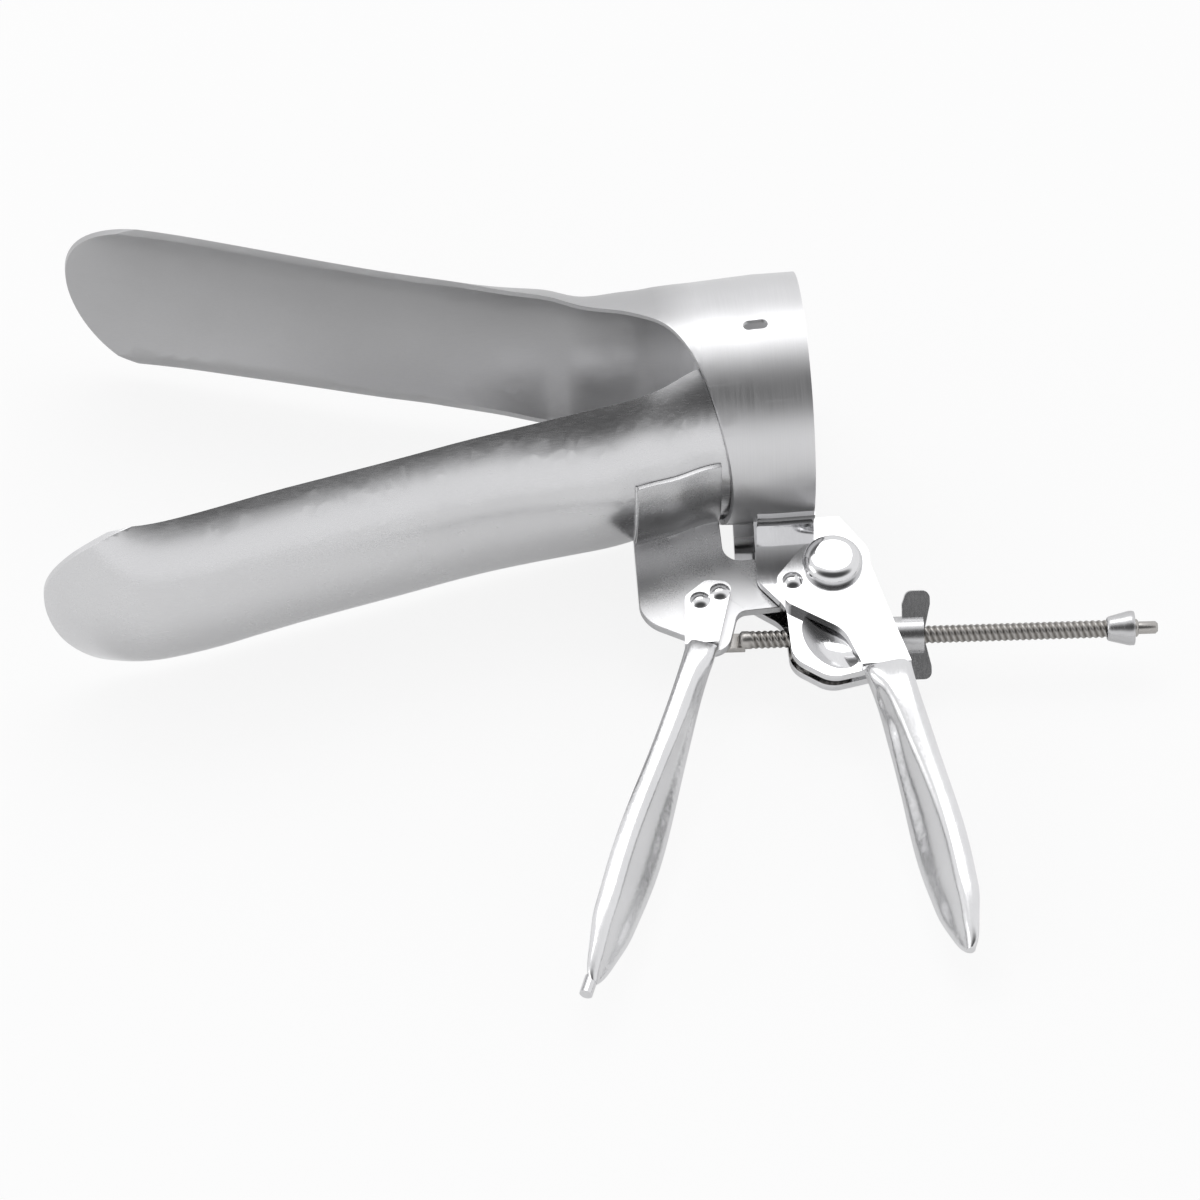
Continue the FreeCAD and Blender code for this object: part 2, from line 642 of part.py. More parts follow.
def build_handle(top, tip, tab, side, z_low, neck_y, neck_w, grip_w, bow):
    """Handle strip: a flat tab on its bracket, then a grip whose inner side folds down."""
    start = V(top[0], top[1], 0)
    run = V(tip[0], tip[1], 0) - start
    along = V(run.x, run.y, 0)
    along.normalize()
    mid_z = z_low + HANDLE_T / 2
    begin = (neck_y - top[1]) / (tip[1] - top[1])
    outer = V(-along.y, along.x, 0) * side
    rows = [(share, neck_w + part * (grip_w - neck_w), crease, drop)
            for share, part, crease, drop in GRIP_SHAPE]
    rows += [(share, part * grip_w, GRIP_END_FOLD, 1.0) for share, part in GRIP_END]
    wires = []
    for share, width, crease, drop in rows:
        centre = start + run * (begin + share * (1 - begin))
        centre = centre + V(bow * math.sin(math.pi * share), 0, 0)
        centre.z = mid_z + drop * (GRIP_Z - mid_z)
        wires.append(handle_section(centre, outer, width, crease))
    return tab.fuse(Part.makeLoft(wires, True, False))


def strip_corner(top, tip, width, y, side):
    """Point on a flat strip's edge at height y, side -1 for its left."""
    share = (y - top[1]) / (tip[1] - top[1])
    x = top[0] + share * (tip[0] - top[0])
    slope = math.hypot(tip[0] - top[0], tip[1] - top[1]) / abs(tip[1] - top[1])
    return (x + side * width / 2 * slope, y)


def front_corner(y, side):
    return strip_corner(FRONT_TOP, FRONT_TIP, FRONT_NECK_W, y, side)


def rear_corner(y, side, shift=0.0):
    x, y = strip_corner(REAR_TOP, REAR_TIP, REAR_NECK_W, y, side)
    return (x + shift, y)


def build_front_handle():
    end_y = FRONT_NECK_Y - TAB_LAP
    outline = [
        FRONT_TAB_RIGHT, front_corner(end_y, 1), front_corner(end_y, -1), *FRONT_TAB_LEFT,
    ]
    tab = plate(outline, PLATE_TOP_Z, PLATE_TOP_Z + HANDLE_T, FRONT_TAB_ROUNDS)
    handle = build_handle(FRONT_TOP, FRONT_TIP, tab, -1, PLATE_TOP_Z, FRONT_NECK_Y,
                          FRONT_NECK_W, FRONT_GRIP_W, FRONT_BOW)
    for x, y in FRONT_RIVETS:
        handle = handle.cut(hole(x, y, RIVET_D))
    handle = handle.cut(hole(ROD_PIVOT_X, ROD_PIVOT_Y, PIVOT_PIN_D))
    nub_top = V(FRONT_TIP[0], FRONT_TIP[1] + NUB_LAP, GRIP_Z)
    down = V(FRONT_TIP[0] - FRONT_TOP[0], FRONT_TIP[1] - FRONT_TOP[1], 0)
    return handle.fuse(Part.makeCylinder(NUB_D / 2, NUB_L, nub_top, down))


def build_rear_handle():
    end_y = REAR_NECK_Y - TAB_LAP
    outline = [
        *REAR_TAB_TOP, rear_corner(REAR_TAB_RIGHT_Y, 1, -REAR_SET), rear_corner(end_y, 1),
        rear_corner(end_y, -1), rear_corner(REAR_TAB_LEFT_Y, -1, -REAR_SET), *REAR_TAB_LEFT,
    ]
    tab = plate(outline, NEAR_TOP_Z, NEAR_TOP_Z + HANDLE_T, REAR_TAB_ROUNDS)
    handle = build_handle(REAR_TOP, REAR_TIP, tab, 1, NEAR_TOP_Z, REAR_NECK_Y,
                          REAR_NECK_W, REAR_GRIP_W, REAR_BOW)
    handle = handle.cut(hole(*REAR_RIVET, RIVET_D))
    return handle.cut(hole(HINGE_X, HINGE_Y, HINGE_PIN_D))


def build_front_rivets():
    top = PLATE_TOP_Z + HANDLE_T
    return Part.makeCompound([top_rivet(x, y, PLATE_LOW_Z, top) for x, y in FRONT_RIVETS])


def build_rear_rivet():
    return top_rivet(*REAR_RIVET, NEAR_LOW_Z, NEAR_TOP_Z + HANDLE_T)


def build_guide_rivets():
    places = guide_rivet_places()
    return Part.makeCompound([bottom_rivet(x, y, FAR_LOW_Z, NEAR_TOP_Z) for x, y in places])


def along_rod(shape):
    """Move a shape made along +X from the origin onto the rod's axis."""
    shape.rotate(V(0, 0, 0), V(0, 0, 1), ROD_TILT)
    shape.translate(rod_point(0))
    return shape


def build_screw_rod():
    """Threaded rod with a flat eye at its pivot and a thin tip past the stop."""
    tongue_top = PLATE_LOW_Z - RUN_GAP - ROD_Z
    tongue_low = tongue_top - TONGUE_T
    eye = Part.makeCylinder(TONGUE_W / 2, TONGUE_T, V(0, 0, tongue_low))
    arm = Part.makeBox(TONGUE_L, ROD_D, TONGUE_T, V(0, -ROD_D / 2, tongue_low))
    start = TONGUE_L - TONGUE_LAP
    shank = Part.makeCylinder(ROD_D / 2, ROD_LENGTH - ROD_TIP_L - start, V(start, 0, 0), V(1, 0, 0))
    tip = Part.makeCylinder(ROD_TIP_D / 2, ROD_TIP_L, V(ROD_LENGTH - ROD_TIP_L, 0, 0), V(1, 0, 0))
    bore = Part.makeCylinder(PIVOT_PIN_D / 2 + HINGE_FIT, TONGUE_W, V(0, 0, -TONGUE_W / 2))
    return along_rod(eye.fuse(arm).fuse(shank).fuse(tip).cut(bore))


def build_rod_pivot_pin():
    tongue_low = PLATE_LOW_Z - RUN_GAP - TONGUE_T
    head_top = tongue_low - RUN_GAP
    shank = cylinder_z(ROD_PIVOT_X, ROD_PIVOT_Y, head_top, PLATE_TOP_Z + HANDLE_T, PIVOT_PIN_D)
    head = cylinder_z(ROD_PIVOT_X, ROD_PIVOT_Y, head_top - PIVOT_HEAD_T, head_top, PIVOT_HEAD_D)
    return shank.fuse(head)


def nut_face():
    """Distance along the rod from its pivot to the domed washer's crown."""
    return (GUIDE_X - ROD_PIVOT_X) / math.cos(math.radians(ROD_TILT)) + NUT_GAP


def rod_bore():
    """Cutter for the nut's and the washer's hole along the rod."""
    return Part.makeCylinder(ROD_D / 2 + NUT_BORE_FIT, 3 * NUT_LENGTH, V(-NUT_LENGTH, 0, 0), V(1, 0, 0))


def build_nut_washer():
    """Domed washer between the guide and the wing nut, so that the rod can tilt."""
    disc = Part.makeCylinder(NUT_HUB_D / 2, WASHER_T, V(0, 0, 0), V(1, 0, 0))
    ball = Part.makeSphere(WASHER_NOSE_R, V(WASHER_NOSE_R, 0, 0))
    washer = disc.common(ball).cut(rod_bore())
    washer.translate(V(nut_face(), 0, 0))
    return along_rod(washer)


def build_wing_nut():
    """Nut whose two wings stand back from the washer, clear of the rear handle."""
    hub = Part.makeCylinder(NUT_HUB_D / 2, NUT_LENGTH, V(0, 0, 0), V(1, 0, 0))
    half = WING_SPAN / 2
    end = WING_START + WING_L
    outline = [
        (WING_START, 0), (WING_START, half - WING_CORNER), (WING_START + WING_SWEEP, half),
        (end, half), (end, half - WING_CORNER), (NUT_LENGTH, 0),
    ]
    wing = plate(outline, -WING_T / 2, WING_T / 2, WING_ROUNDS)
    other = wing.mirror(V(0, 0, 0), V(0, 1, 0))
    nut = hub.fuse(wing).fuse(other)
    nut = nut.cut(rod_bore())
    nut.rotate(V(0, 0, 0), V(1, 0, 0), WING_TURN)
    nut.translate(V(nut_face() + WASHER_T + WASHER_GAP, 0, 0))
    return along_rod(nut)


def build_rod_end_stop():
    """Flared collar that keeps the nut on the rod."""
    start = ROD_LENGTH - STOP_SET
    rim_x = start + STOP_L - STOP_RIM_L
    along = V(1, 0, 0)
    cone = Part.makeCone(STOP_FRONT_D / 2, STOP_D / 2, rim_x - start, V(start, 0, 0), along)
    rim = Part.makeCylinder(STOP_D / 2, STOP_RIM_L, V(rim_x, 0, 0), along)
    bore = Part.makeCylinder(ROD_D / 2, 3 * STOP_L, V(start - STOP_L, 0, 0), along)
    return along_rod(cone.fuse(rim).cut(bore))


PARTS = {
    "upper_blade": build_upper_blade,
    "lower_blade": build_lower_blade,
    "front_bracket": build_front_bracket,
    "near_cheek": build_near_cheek,
    "far_cheek": build_far_cheek,
    "rod_guide": build_rod_guide,
    "guide_rivets": build_guide_rivets,
    "hinge_screw": build_hinge_screw,
    "hinge_nut": build_hinge_nut,
    "hinge_spacer": build_hinge_spacer,
    "front_handle": build_front_handle,
    "rear_handle": build_rear_handle,
    "front_handle_rivets": build_front_rivets,
    "rear_handle_rivet": build_rear_rivet,
    "screw_rod": build_screw_rod,
    "rod_pivot_pin": build_rod_pivot_pin,
    "nut_washer": build_nut_washer,
    "wing_nut": build_wing_nut,
    "rod_end_stop": build_rod_end_stop,
}


os.makedirs("parts", exist_ok=True)
for name, build in PARTS.items():
    shape = build()
    shape.exportStep("parts/" + name + ".step")
    box = shape.BoundBox
    print(name, len(shape.Solids), shape.isValid(), round(shape.Volume, 1),
          [round(v, 1) for v in (box.XMin, box.XMax, box.YMin, box.YMax, box.ZMin, box.ZMax)])
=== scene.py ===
"""Looks of the bivalve speculum: steel finishes, rod thread, solder, camera and studio."""
import bmesh
import bpy
import math
from mathutils import Matrix, Vector
from mathutils.bvhtree import BVHTree


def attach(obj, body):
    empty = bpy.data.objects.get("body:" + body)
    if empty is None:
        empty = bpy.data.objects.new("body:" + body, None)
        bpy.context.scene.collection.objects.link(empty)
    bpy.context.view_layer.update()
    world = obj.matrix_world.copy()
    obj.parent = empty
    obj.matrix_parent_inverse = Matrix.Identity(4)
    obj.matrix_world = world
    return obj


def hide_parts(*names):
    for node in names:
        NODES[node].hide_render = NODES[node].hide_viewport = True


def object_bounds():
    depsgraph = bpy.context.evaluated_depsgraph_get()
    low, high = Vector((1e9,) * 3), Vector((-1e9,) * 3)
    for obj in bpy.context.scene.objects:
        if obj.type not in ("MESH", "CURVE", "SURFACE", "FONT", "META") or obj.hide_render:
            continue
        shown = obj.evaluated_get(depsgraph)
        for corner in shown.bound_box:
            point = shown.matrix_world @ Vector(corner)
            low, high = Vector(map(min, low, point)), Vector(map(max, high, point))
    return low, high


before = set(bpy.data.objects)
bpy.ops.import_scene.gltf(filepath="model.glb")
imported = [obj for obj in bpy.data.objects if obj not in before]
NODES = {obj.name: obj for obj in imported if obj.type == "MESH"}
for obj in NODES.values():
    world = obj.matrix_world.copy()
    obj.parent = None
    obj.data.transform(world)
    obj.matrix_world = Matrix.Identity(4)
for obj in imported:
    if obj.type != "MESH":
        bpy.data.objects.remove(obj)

MM = 0.001
CAD_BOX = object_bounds()
FLOOR_Z = CAD_BOX[0][2]

# Camera: a long lens at the photograph's viewing angle
CAMERA_AZIMUTH = math.radians(6.77)
CAMERA_ELEVATION = math.radians(53.84)
CAMERA_ROLL = math.radians(1.24)
CAMERA_DISTANCE = 2500 * MM
CAMERA_TARGET = Vector((-37.45 * MM, -38.45 * MM, 0))
CAMERA_SEES_TO = 20
PIXELS_PER_MM = 6.11
IMAGE_PIXELS = 1200
SENSOR_MM = 36.0

# Room: pale walls with a dark strip overhead, along X, and how white the floor is
DARK_STRIP = (0.0, -0.469, 0.883)
ROOM_DARK = 0.08
ROOM_BRIGHT = 0.98
STRIP_EDGE = 0.985
STRIP_END = 0.80
STRIP_STRETCH = (0.45, 1, 1)
FLOOR_HALF = 3.0
FLOOR_WHITE = 0.86
FLOOR_IN_METAL = 0.25

# Ring of the upper blade: its radius, and where the blade turns into it
RING_R = 20 * MM
RING_FROM_X = -24 * MM
RING_FULL_X = -17 * MM

# Threaded rod, in millimetres along it from its pivot, as in the solids
ROD_PIVOT = Vector((-20.5, -39.7, -12.0))
ROD_TILT = math.radians(-3.0)
ROD_R = 1.5
ROD_LENGTH = 75.0
ROD_TIP_R = 1.05
ROD_TIP_L = 3.2
SHANK_START = 6.0
THREAD_START = 7.2
THREAD_DEPTH = 0.22
THREAD_PITCH = 1.0
THREAD_STARTS = 3
THREAD_RUN_IN = 1.5
THREAD_RUN_OUT = 1.0
THREAD_END_GAP = 0.6
THREAD_SHARPNESS = 0.8
STEPS_PER_PITCH = 8
ROD_CHAMFER = 0.3
TIP_CHAMFER = 0.35
TIP_CHAMFER_L = 0.4
SHANK_NECK = 0.5
ROD_SIDES = 24
TONGUE_R = 2.5
TONGUE_HALF_W = 1.5
TONGUE_END = 7.0
TONGUE_LOW = -1.3
TONGUE_TOP = -0.1
TONGUE_CHAMFER = 0.1
EYE_R = 1.25
EYE_POINTS = 40

# Solder along the saddle's front edge
SADDLE_LEFT = -29.6
SADDLE_TOP = 6.8
SOLDER_R = 0.24
SOLDER_SET = 0.1
SOLDER_STEP = 0.45
SOLDER_POINTS = 39
SOLDER_FROM_Y = -60
SOLDER_WAVES = ((0.22, 2.3, 0.0), (0.12, 5.1, 1.0))


def studio_camera():
    """Camera that looks down at the object from the side of its handles."""
    back = Vector((
        -math.sin(CAMERA_AZIMUTH) * math.cos(CAMERA_ELEVATION),
        -math.cos(CAMERA_AZIMUTH) * math.cos(CAMERA_ELEVATION),
        math.sin(CAMERA_ELEVATION),
    ))
    right = Vector((math.cos(CAMERA_AZIMUTH), -math.sin(CAMERA_AZIMUTH), 0))
    up = back.cross(right)
    turned = right * math.cos(CAMERA_ROLL) + up * math.sin(CAMERA_ROLL)
    up = up * math.cos(CAMERA_ROLL) - right * math.sin(CAMERA_ROLL)
    data = bpy.data.cameras.new("studio_camera")
    data.sensor_width = SENSOR_MM
    distance_mm = CAMERA_DISTANCE / MM
    data.lens = SENSOR_MM * PIXELS_PER_MM * distance_mm / IMAGE_PIXELS
    data.clip_end = CAMERA_SEES_TO
    camera = bpy.data.objects.new("studio_camera", data)
    place = CAMERA_TARGET + back * CAMERA_DISTANCE
    turn = Matrix((turned, up, back)).transposed().to_4x4()
    camera.matrix_world = Matrix.Translation(place) @ turn
    bpy.context.scene.collection.objects.link(camera)
    bpy.context.scene.camera = camera


def material(name):
    """New material with an empty node tree but its output, and a Principled shader on it."""
    mat = bpy.data.materials.new(name)
    mat.use_nodes = True
    nodes = mat.node_tree.nodes
    nodes.clear()
    out = nodes.new("ShaderNodeOutputMaterial")
    shader = nodes.new("ShaderNodeBsdfPrincipled")
    mat.node_tree.links.new(shader.outputs["BSDF"], out.inputs["Surface"])
    return mat, shader


def node(mat, kind, **settings):
    """New node in a material's tree, with its settings."""
    made = mat.node_tree.nodes.new(kind)
    for key, value in settings.items():
        setattr(made, key, value)
    return made


def link(mat, source, target):
    mat.node_tree.links.new(source, target)


def join(mat, kind, *values):
    """Sum, product or other maths of sockets and numbers."""
    made = node(mat, "ShaderNodeMath", operation=kind)
    for socket, value in zip(made.inputs, values):
        if isinstance(value, (int, float)):
            socket.default_value = value
        else:
            link(mat, value, socket)
    return made.outputs["Value"]


def straight_place(mat):
    """Place in the part's own frame."""
    return node(mat, "ShaderNodeTexCoord").outputs["Object"]


def round_place(mat):
    """Coordinates wrapped round the ring's axis: x along it, y round it, z out from it."""
    split = node(mat, "ShaderNodeSeparateXYZ")
    link(mat, straight_place(mat), split.inputs["Vector"])
    angle = join(mat, "ARCTAN2", split.outputs["Z"], split.outputs["Y"])
    merge = node(mat, "ShaderNodeCombineXYZ")
    link(mat, split.outputs["X"], merge.inputs["X"])
    link(mat, join(mat, "MULTIPLY", angle, RING_R), merge.inputs["Y"])
    return merge.outputs["Vector"]


def noise(mat, place, stretch, size, detail=4.0, roughness=0.6):
    """Noise of a size, in features per metre, stretched by a factor for each axis."""
    scale = node(mat, "ShaderNodeMapping")
    scale.inputs["Scale"].default_value = stretch
    link(mat, place, scale.inputs["Vector"])
    made = node(mat, "ShaderNodeTexNoise")
    made.inputs["Scale"].default_value = size
    made.inputs["Detail"].default_value = detail
    made.inputs["Roughness"].default_value = roughness
    link(mat, scale.outputs["Vector"], made.inputs["Vector"])
    return made.outputs["Fac"]


def ramp(mat, source, low, high, value_low, value_high):
    """Map source's low to high onto value_low to value_high, clamped."""
    made = node(mat, "ShaderNodeMapRange")
    made.inputs["From Min"].default_value = low
    made.inputs["From Max"].default_value = high
    made.inputs["To Min"].default_value = value_low
    made.inputs["To Max"].default_value = value_high
    link(mat, source, made.inputs["Value"])
    return made.outputs["Result"]


def worn_edge(mat, width):
    """1 along sharp edges and 0 on faces, from how far a rounded normal turns."""
    rounded = node(mat, "ShaderNodeBevel", samples=4)
    rounded.inputs["Radius"].default_value = width
    flat = node(mat, "ShaderNodeNewGeometry")
    dot = node(mat, "ShaderNodeVectorMath", operation="DOT_PRODUCT")
    link(mat, rounded.outputs["Normal"], dot.inputs[0])
    link(mat, flat.outputs["Normal"], dot.inputs[1])
    return ramp(mat, dot.outputs["Value"], 0.99, 0.80, 0.0, 1.0)


def steel(name, tone, rough, grain, depth=2.0, mottle=0.05, tint=(1.0, 1.0, 1.01), wear=0.10,
          ring_painted_light=1.0):
    """Stainless steel: drawn grain, faint mottling, stray scratches and rubbed edges.

    grain(mat) gives the grain's noise; depth is its height in micrometres; the last
    argument brightens the metal where the blade turns into the ring, as painted light.
    """
    mat, shader = material(name)
    shader.inputs["Metallic"].default_value = 1.0
    fine = grain(mat)
    place = straight_place(mat)
    broad = noise(mat, place, (1, 1, 1), 55.0, 3.0, 0.55)
    scratch = noise(mat, place, (0.03, 1.0, 1.0), 1500.0, 2.0, 0.5)
    marks = ramp(mat, scratch, 0.67, 0.74, 0.0, 1.0)
    edges = worn_edge(mat, 0.25 * MM)

    shade = ramp(mat, broad, 0.3, 0.7, 1.0 - mottle, 1.0 + mottle)
    shade = join(mat, "MULTIPLY", shade, ramp(mat, fine, 0.2, 0.8, 0.96, 1.03))
    shade = join(mat, "ADD", shade, join(mat, "MULTIPLY", edges, wear))
    # Painted highlight: the ring's colour is made brighter than the blade's, for the light it
    # catches
    if ring_painted_light != 1.0:
        shade = join(mat, "MULTIPLY", shade, ramp(mat, ring_share(mat), 0, 1, 1.0, ring_painted_light))
    colour = node(mat, "ShaderNodeMix", data_type="RGBA", clamp_factor=False)
    colour.inputs["A"].default_value = (0, 0, 0, 1)
    colour.inputs["B"].default_value = (tone * tint[0], tone * tint[1], tone * tint[2], 1)
    link(mat, shade, colour.inputs["Factor"])
    link(mat, colour.outputs["Result"], shader.inputs["Base Color"])

    gloss = join(mat, "ADD", ramp(mat, fine, 0.25, 0.75, -0.04, 0.04),
                 ramp(mat, broad, 0.25, 0.75, -mottle, mottle))
    gloss = join(mat, "ADD", gloss, join(mat, "MULTIPLY", marks, 0.03))
    gloss = join(mat, "SUBTRACT", gloss, join(mat, "MULTIPLY", edges, 0.05))
    gloss = join(mat, "MAXIMUM", join(mat, "ADD", gloss, rough), 0.05)
    link(mat, gloss, shader.inputs["Roughness"])

    height = node(mat, "ShaderNodeBump")
    height.inputs["Strength"].default_value = 1.0
    height.inputs["Distance"].default_value = depth * MM * MM
    link(mat, join(mat, "ADD", fine, join(mat, "MULTIPLY", marks, -0.15)), height.inputs["Height"])
    link(mat, height.outputs["Normal"], shader.inputs["Normal"])
    return mat


def ring_share(mat):
    """0 on the blade and 1 on the ring's outside, with a short change between them."""
    split = node(mat, "ShaderNodeSeparateXYZ")
    link(mat, straight_place(mat), split.inputs["Vector"])
    return ramp(mat, split.outputs["X"], RING_FROM_X, RING_FULL_X, 0.0, 1.0)


def drawn(stretch, size=5000.0):
    """Grain of fine lines, long where the stretch is small."""
    def grain(mat):
        return noise(mat, straight_place(mat), stretch, size, 3.0, 0.6)
    return grain


def blade_and_ring_grain(mat):
    """Lengthwise lines on the blade and lines round the ring behind it."""
    along = noise(mat, straight_place(mat), (0.02, 1, 1), 5000.0, 3.0, 0.6)
    around = noise(mat, round_place(mat), (1, 0.02, 1), 5000.0, 3.0, 0.6)
    mix = node(mat, "ShaderNodeMix", data_type="FLOAT")
    link(mat, ring_share(mat), mix.inputs["Factor"])
    link(mat, along, mix.inputs["A"])
    link(mat, around, mix.inputs["B"])
    return mix.outputs["Result"]


def thread_steel():
    """Darker steel, made darker still in the thread roots."""
    mat = steel("threaded_steel", 0.46, 0.30, drawn((1, 0.4, 0.4), 2600.0), 3.0, 0.08,
                (1.0, 0.97, 0.93), 0.05)
    shader = next(n for n in mat.node_tree.nodes if n.type == "BSDF_PRINCIPLED")
    source = shader.inputs["Base Color"].links[0].from_socket
    root = node(mat, "ShaderNodeAttribute", attribute_name="root").outputs["Fac"]
    dark = node(mat, "ShaderNodeMix", data_type="RGBA")
    dark.inputs["B"].default_value = (0.07, 0.06, 0.05, 1)
    link(mat, join(mat, "MULTIPLY", root, 0.75), dark.inputs["Factor"])
    link(mat, source, dark.inputs["A"])
    link(mat, dark.outputs["Result"], shader.inputs["Base Color"])
    return mat


def dress(mat, *names):
    """Give CAD nodes a material."""
    for name in names:
        obj = NODES[name]
        obj.data.materials.clear()
        obj.data.materials.append(mat)


def soften(width, *names):
    """Round a node's sharp edges a little, so that they catch the light."""
    for name in names:
        obj = NODES[name]
        weld = obj.modifiers.new("weld", "WELD")
        weld.merge_threshold = 0.002 * MM
        bevel = obj.modifiers.new("soft_edges", "BEVEL")
        bevel.width = width
        bevel.segments = 2
        bevel.limit_method = "ANGLE"
        bevel.angle_limit = math.radians(40)
        bevel.harden_normals = False
        smooth = obj.modifiers.new("even_normals", "WEIGHTED_NORMAL")
        smooth.keep_sharp = True


def add_piece(name, mesh, mat, body):
    """Put a new mesh in the scene on a body."""
    obj = bpy.data.objects.new(name, mesh)
    bpy.context.scene.collection.objects.link(obj)
    obj.data.materials.append(mat)
    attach(obj, body)
    return obj


def thread_root(x, turn):
    """How deep the thread's root is at x and an angle: 0 on the crest and 1 in the root."""
    end = ROD_LENGTH - ROD_TIP_L - THREAD_END_GAP
    run_in = max(0.0, (x - THREAD_START) / THREAD_RUN_IN)
    run_out = max(0.0, (end - x) / THREAD_RUN_OUT)
    wave = 0.5 - 0.5 * math.cos(math.tau * (x / THREAD_PITCH - THREAD_STARTS * turn))
    return min(1.0, run_in, run_out) * wave ** THREAD_SHARPNESS


def shank_rings():
    """Places and base radii along the rod, close enough to carry the thread."""
    end = ROD_LENGTH - ROD_TIP_L
    step = THREAD_PITCH / STEPS_PER_PITCH
    count = round((end - THREAD_END_GAP - THREAD_START) / step)
    rings = [(SHANK_START, ROD_R - SHANK_NECK), (SHANK_START + SHANK_NECK, ROD_R)]
    rings += [(THREAD_START + i * step, ROD_R) for i in range(count + 1)]
    rings += [(end - ROD_CHAMFER, ROD_R), (end, ROD_R - ROD_CHAMFER), (end, ROD_TIP_R)]
    rings += [(ROD_LENGTH - TIP_CHAMFER_L, ROD_TIP_R), (ROD_LENGTH, ROD_TIP_R - TIP_CHAMFER)]
    return rings


def rod_shank(bm, root):
    """Threaded shank as closed rings, with the root layer set for darkening its roots."""
    loops = []
    for x, radius in shank_rings():
        loop = []
        for i in range(ROD_SIDES):
            turn = i / ROD_SIDES
            deep = thread_root(x, turn)
            r = radius - THREAD_DEPTH * deep
            angle = math.tau * turn
            vert = bm.verts.new((x, r * math.cos(angle), r * math.sin(angle)))
            vert[root] = deep
            loop.append(vert)
        loops.append(loop)
    for a, b in zip(loops, loops[1:]):
        for i in range(ROD_SIDES):
            j = (i + 1) % ROD_SIDES
            bm.faces.new((a[i], a[j], b[j], b[i]))
    bm.faces.new(list(reversed(loops[0])))
    bm.faces.new(loops[-1])


def tongue_reach(angle):
    """Distance from the eye's centre to the tongue's edge in a direction."""
    if math.cos(angle) > 0 and abs(math.sin(angle)) * TONGUE_R < TONGUE_HALF_W:
        side = TONGUE_HALF_W / max(abs(math.sin(angle)), 1e-9)
        return min(side, TONGUE_END / math.cos(angle))
    return TONGUE_R


def round_vert(bm, radius, angle, z):
    """New vertex at a radius and angle about the pivot, at height z."""
    return bm.verts.new((radius * math.cos(angle), radius * math.sin(angle), z))


def rod_tongue(bm):
    """Flat eye that turns on the pivot pin."""
    corner = math.atan2(TONGUE_HALF_W, TONGUE_END)
    shoulder = math.asin(TONGUE_HALF_W / TONGUE_R)
    angles = [-corner, 0.0, corner, (corner + shoulder) / 2]
    step = (math.tau - 2 * shoulder) / EYE_POINTS
    angles += [shoulder + i * step for i in range(EYE_POINTS + 1)]
    angles.append(math.tau - (corner + shoulder) / 2)
    levels = (
        (TONGUE_CHAMFER, TONGUE_LOW), (0.0, TONGUE_LOW + TONGUE_CHAMFER),
        (0.0, TONGUE_TOP - TONGUE_CHAMFER), (TONGUE_CHAMFER, TONGUE_TOP),
    )
    outer = []
    inner = []
    for inset, z in levels:
        outer.append([round_vert(bm, tongue_reach(a) - inset, a, z) for a in angles])
        inner.append([round_vert(bm, EYE_R + inset, a, z) for a in angles])
    circuit = outer + inner[::-1]
    for a, b in zip(circuit, circuit[1:] + circuit[:1]):
        for i in range(len(angles)):
            j = (i + 1) % len(angles)
            bm.faces.new((a[i], a[j], b[j], b[i]))


def screw_rod(mat):
    """The rod with a real helical thread, standing for the plain one in the solids."""
    bm = bmesh.new()
    root = bm.verts.layers.float.new("root")
    rod_shank(bm, root)
    rod_tongue(bm)
    bmesh.ops.recalc_face_normals(bm, faces=bm.faces)
    place = Matrix.Translation(ROD_PIVOT) @ Matrix.Rotation(ROD_TILT, 4, "Z")
    bm.transform(Matrix.Scale(MM, 4) @ place)
    mesh = bpy.data.meshes.new("threaded_rod")
    bm.to_mesh(mesh)
    bm.free()
    mesh.shade_smooth()
    mesh.set_sharp_from_angle(angle=math.radians(50))
    obj = add_piece("threaded_rod", mesh, mat, "rod")
    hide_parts("screw_rod")


def surface_line(tree, starts, toward):
    """Points where rays from the starts first meet a surface."""
    found = []
    for start in starts:
        hit = tree.ray_cast(Vector(start) * MM, Vector(toward))[0]
        if hit is not None:
            found.append(hit)
    return found


def tree_of(name):
    """Search tree of a CAD node's faces."""
    bm = bmesh.new()
    bm.from_mesh(NODES[name].data)
    tree = BVHTree.FromBMesh(bm)
    bm.free()
    return tree


def solder_bead(name, points, mat, body):
    """Uneven bead of solder along a line of points."""
    curve = bpy.data.curves.new(name, "CURVE")
    curve.dimensions = "3D"
    curve.bevel_depth = SOLDER_R * MM
    curve.bevel_resolution = 3
    curve.use_fill_caps = True
    spline = curve.splines.new("POLY")
    spline.points.add(len(points) - 1)
    for i, point in enumerate(points):
        spline.points[i].co = (*point, 1)
        waves = [size * math.sin(rate * i + phase) for size, rate, phase in SOLDER_WAVES]
        spline.points[i].radius = 1.0 + sum(waves)
    obj = bpy.data.objects.new(name, curve)
    bpy.context.scene.collection.objects.link(obj)
    curve.materials.append(mat)
    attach(obj, body)


def solder(mat):
    """Bead along the saddle's front edge, laid on the lower blade's outside."""
    blade = tree_of("lower_blade")
    heights = [SADDLE_TOP - i * SOLDER_STEP for i in range(SOLDER_POINTS)]
    starts = [(SADDLE_LEFT - SOLDER_SET, SOLDER_FROM_Y, z) for z in heights]
    left = surface_line(blade, starts, (0, 1, 0))
    solder_bead("solder_left", left, mat, "lower_valve")


def area_light(name, place, aim, size, power):
    """Rectangular soft box at a place, turned to its aim."""
    data = bpy.data.lights.new(name, "AREA")
    data.shape = "RECTANGLE"
    data.size = size[0]
    data.size_y = size[1]
    data.energy = power
    light = bpy.data.objects.new(name, data)
    light.location = place
    direction = Vector(aim) - Vector(place)
    light.rotation_euler = direction.to_track_quat("-Z", "Y").to_euler()
    bpy.context.scene.collection.objects.link(light)


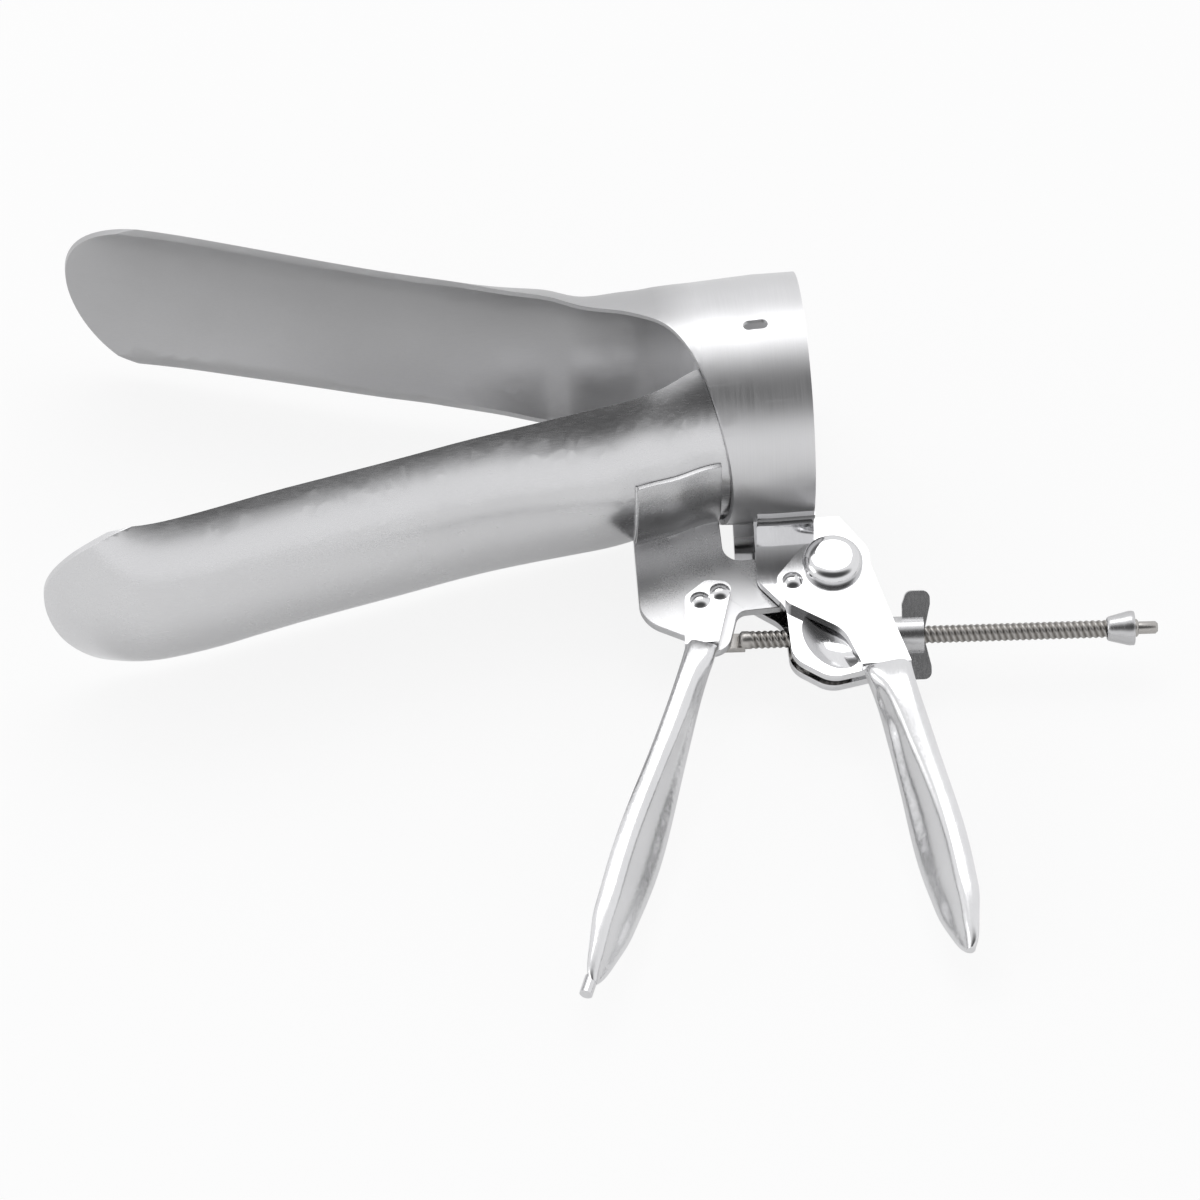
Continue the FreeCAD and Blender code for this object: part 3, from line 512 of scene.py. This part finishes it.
def studio_world():
    """Pale room with a dark strip overhead, that is white to the camera."""
    world = bpy.data.worlds.new("studio")
    bpy.context.scene.world = world
    world.use_nodes = True
    tree = world.node_tree
    tree.nodes.clear()
    out = tree.nodes.new("ShaderNodeOutputWorld")
    room = tree.nodes.new("ShaderNodeBackground")
    white = tree.nodes.new("ShaderNodeBackground")
    mix = tree.nodes.new("ShaderNodeMixShader")
    path = tree.nodes.new("ShaderNodeLightPath")
    coords = tree.nodes.new("ShaderNodeTexCoord")
    narrow = tree.nodes.new("ShaderNodeVectorMath")
    narrow.operation = "MULTIPLY"
    narrow.inputs[1].default_value = STRIP_STRETCH
    unit = tree.nodes.new("ShaderNodeVectorMath")
    unit.operation = "NORMALIZE"
    toward = tree.nodes.new("ShaderNodeVectorMath")
    toward.operation = "DOT_PRODUCT"
    toward.inputs[1].default_value = DARK_STRIP
    shade = tree.nodes.new("ShaderNodeMapRange")
    shade.interpolation_type = "SMOOTHSTEP"
    shade.inputs["From Min"].default_value = STRIP_END
    shade.inputs["From Max"].default_value = STRIP_EDGE
    shade.inputs["To Min"].default_value = ROOM_BRIGHT
    shade.inputs["To Max"].default_value = ROOM_DARK
    tree.links.new(coords.outputs["Generated"], narrow.inputs[0])
    tree.links.new(narrow.outputs["Vector"], unit.inputs[0])
    tree.links.new(unit.outputs["Vector"], toward.inputs[0])
    tree.links.new(toward.outputs["Value"], shade.inputs["Value"])
    tree.links.new(shade.outputs["Result"], room.inputs["Strength"])
    room.inputs["Color"].default_value = (0.99, 0.99, 1.0, 1)
    white.inputs["Color"].default_value = (1, 1, 1, 1)
    white.inputs["Strength"].default_value = 1.0
    tree.links.new(path.outputs["Is Camera Ray"], mix.inputs["Fac"])
    tree.links.new(room.outputs["Background"], mix.inputs[1])
    tree.links.new(white.outputs["Background"], mix.inputs[2])
    tree.links.new(mix.outputs["Shader"], out.inputs["Surface"])


def floor():
    """Plain white floor with a soft shadow under the object."""
    half = FLOOR_HALF
    mesh = bpy.data.meshes.new("floor")
    corners = [(-half, -half, 0), (half, -half, 0), (half, half, 0), (-half, half, 0)]
    mesh.from_pydata(corners, [], [(0, 1, 2, 3)])
    obj = bpy.data.objects.new("floor", mesh)
    obj.location = (0, 0, FLOOR_Z - 0.2 * MM)
    bpy.context.scene.collection.objects.link(obj)
    mat, shader = material("pale_floor")
    shader.inputs["Base Color"].default_value = (0.93, 0.93, 0.93, 1)
    shader.inputs["Roughness"].default_value = 0.9
    shader.inputs["Specular IOR Level"].default_value = 0.1
    glow = node(mat, "ShaderNodeEmission")
    glow.inputs["Color"].default_value = (1, 1, 1, 1)
    glow.inputs["Strength"].default_value = 1.0
    blend = node(mat, "ShaderNodeMixShader")
    path = node(mat, "ShaderNodeLightPath")
    out = next(n for n in mat.node_tree.nodes if n.type == "OUTPUT_MATERIAL")
    seen = join(mat, "MULTIPLY", path.outputs["Is Camera Ray"], FLOOR_WHITE)
    mirrored = join(mat, "MULTIPLY", path.outputs["Is Glossy Ray"], FLOOR_IN_METAL)
    link(mat, join(mat, "ADD", seen, mirrored), blend.inputs["Fac"])
    link(mat, shader.outputs["BSDF"], blend.inputs[1])
    link(mat, glow.outputs["Emission"], blend.inputs[2])
    link(mat, blend.outputs["Shader"], out.inputs["Surface"])
    obj.data.materials.append(mat)


def lights():
    """One wide soft box above and behind, and a low one on the left."""
    area_light("overhead", (-0.10, 0.55, 0.90), (-0.03, -0.02, 0), (0.9, 0.5), 2.2)
    area_light("left_fill", (-0.90, -0.10, 0.45), (-0.03, -0.02, 0), (0.4, 0.4), 0.7)


studio_camera()
studio_world()
floor()
lights()

even = drawn((1, 1, 1), 3500.0)
# The upper blade's ring gets a painted highlight: its colour is 1.35 times brighter than the
# blade's
dress(steel("satin_blade_steel", 0.52, 0.38, blade_and_ring_grain, 2.0, 0.03, ring_painted_light=1.35),
      "upper_blade")
dress(steel("polished_blade_steel", 0.70, 0.25, drawn((0.02, 1, 1)), 0.6, 0.025), "lower_blade")
plate_steel = steel("satin_plate_steel", 0.60, 0.30, even, 0.6, 0.08)
dress(plate_steel, "front_bracket", "rod_guide", "hinge_spacer")
dress(steel("polished_plate_steel", 0.80, 0.09, drawn((1, 0.1, 1)), 0.6), "near_cheek", "far_cheek")
dress(steel("polished_handle_steel", 0.74, 0.21, drawn((1, 0.03, 1)), 0.6),
      "front_handle", "rear_handle")
dress(steel("polished_small_steel", 0.76, 0.10, even, 0.6), "guide_rivets", "hinge_screw",
      "hinge_nut", "front_handle_rivets", "rear_handle_rivet", "rod_pivot_pin")
dress(steel("turned_steel", 0.58, 0.26, drawn((1, 0.3, 0.3), 3000.0), 2.0), "nut_washer",
      "wing_nut", "rod_end_stop")

soften(0.18 * MM, "upper_blade", "lower_blade", "front_bracket", "near_cheek", "far_cheek",
       "rod_guide", "hinge_nut")
soften(0.30 * MM, "wing_nut", "rod_end_stop")

thread = thread_steel()
dress(thread, "screw_rod")
screw_rod(thread)
solder(steel("solder", 0.80, 0.30, even, 3.0, 0.08))

bpy.context.scene.view_settings.view_transform = "Standard"
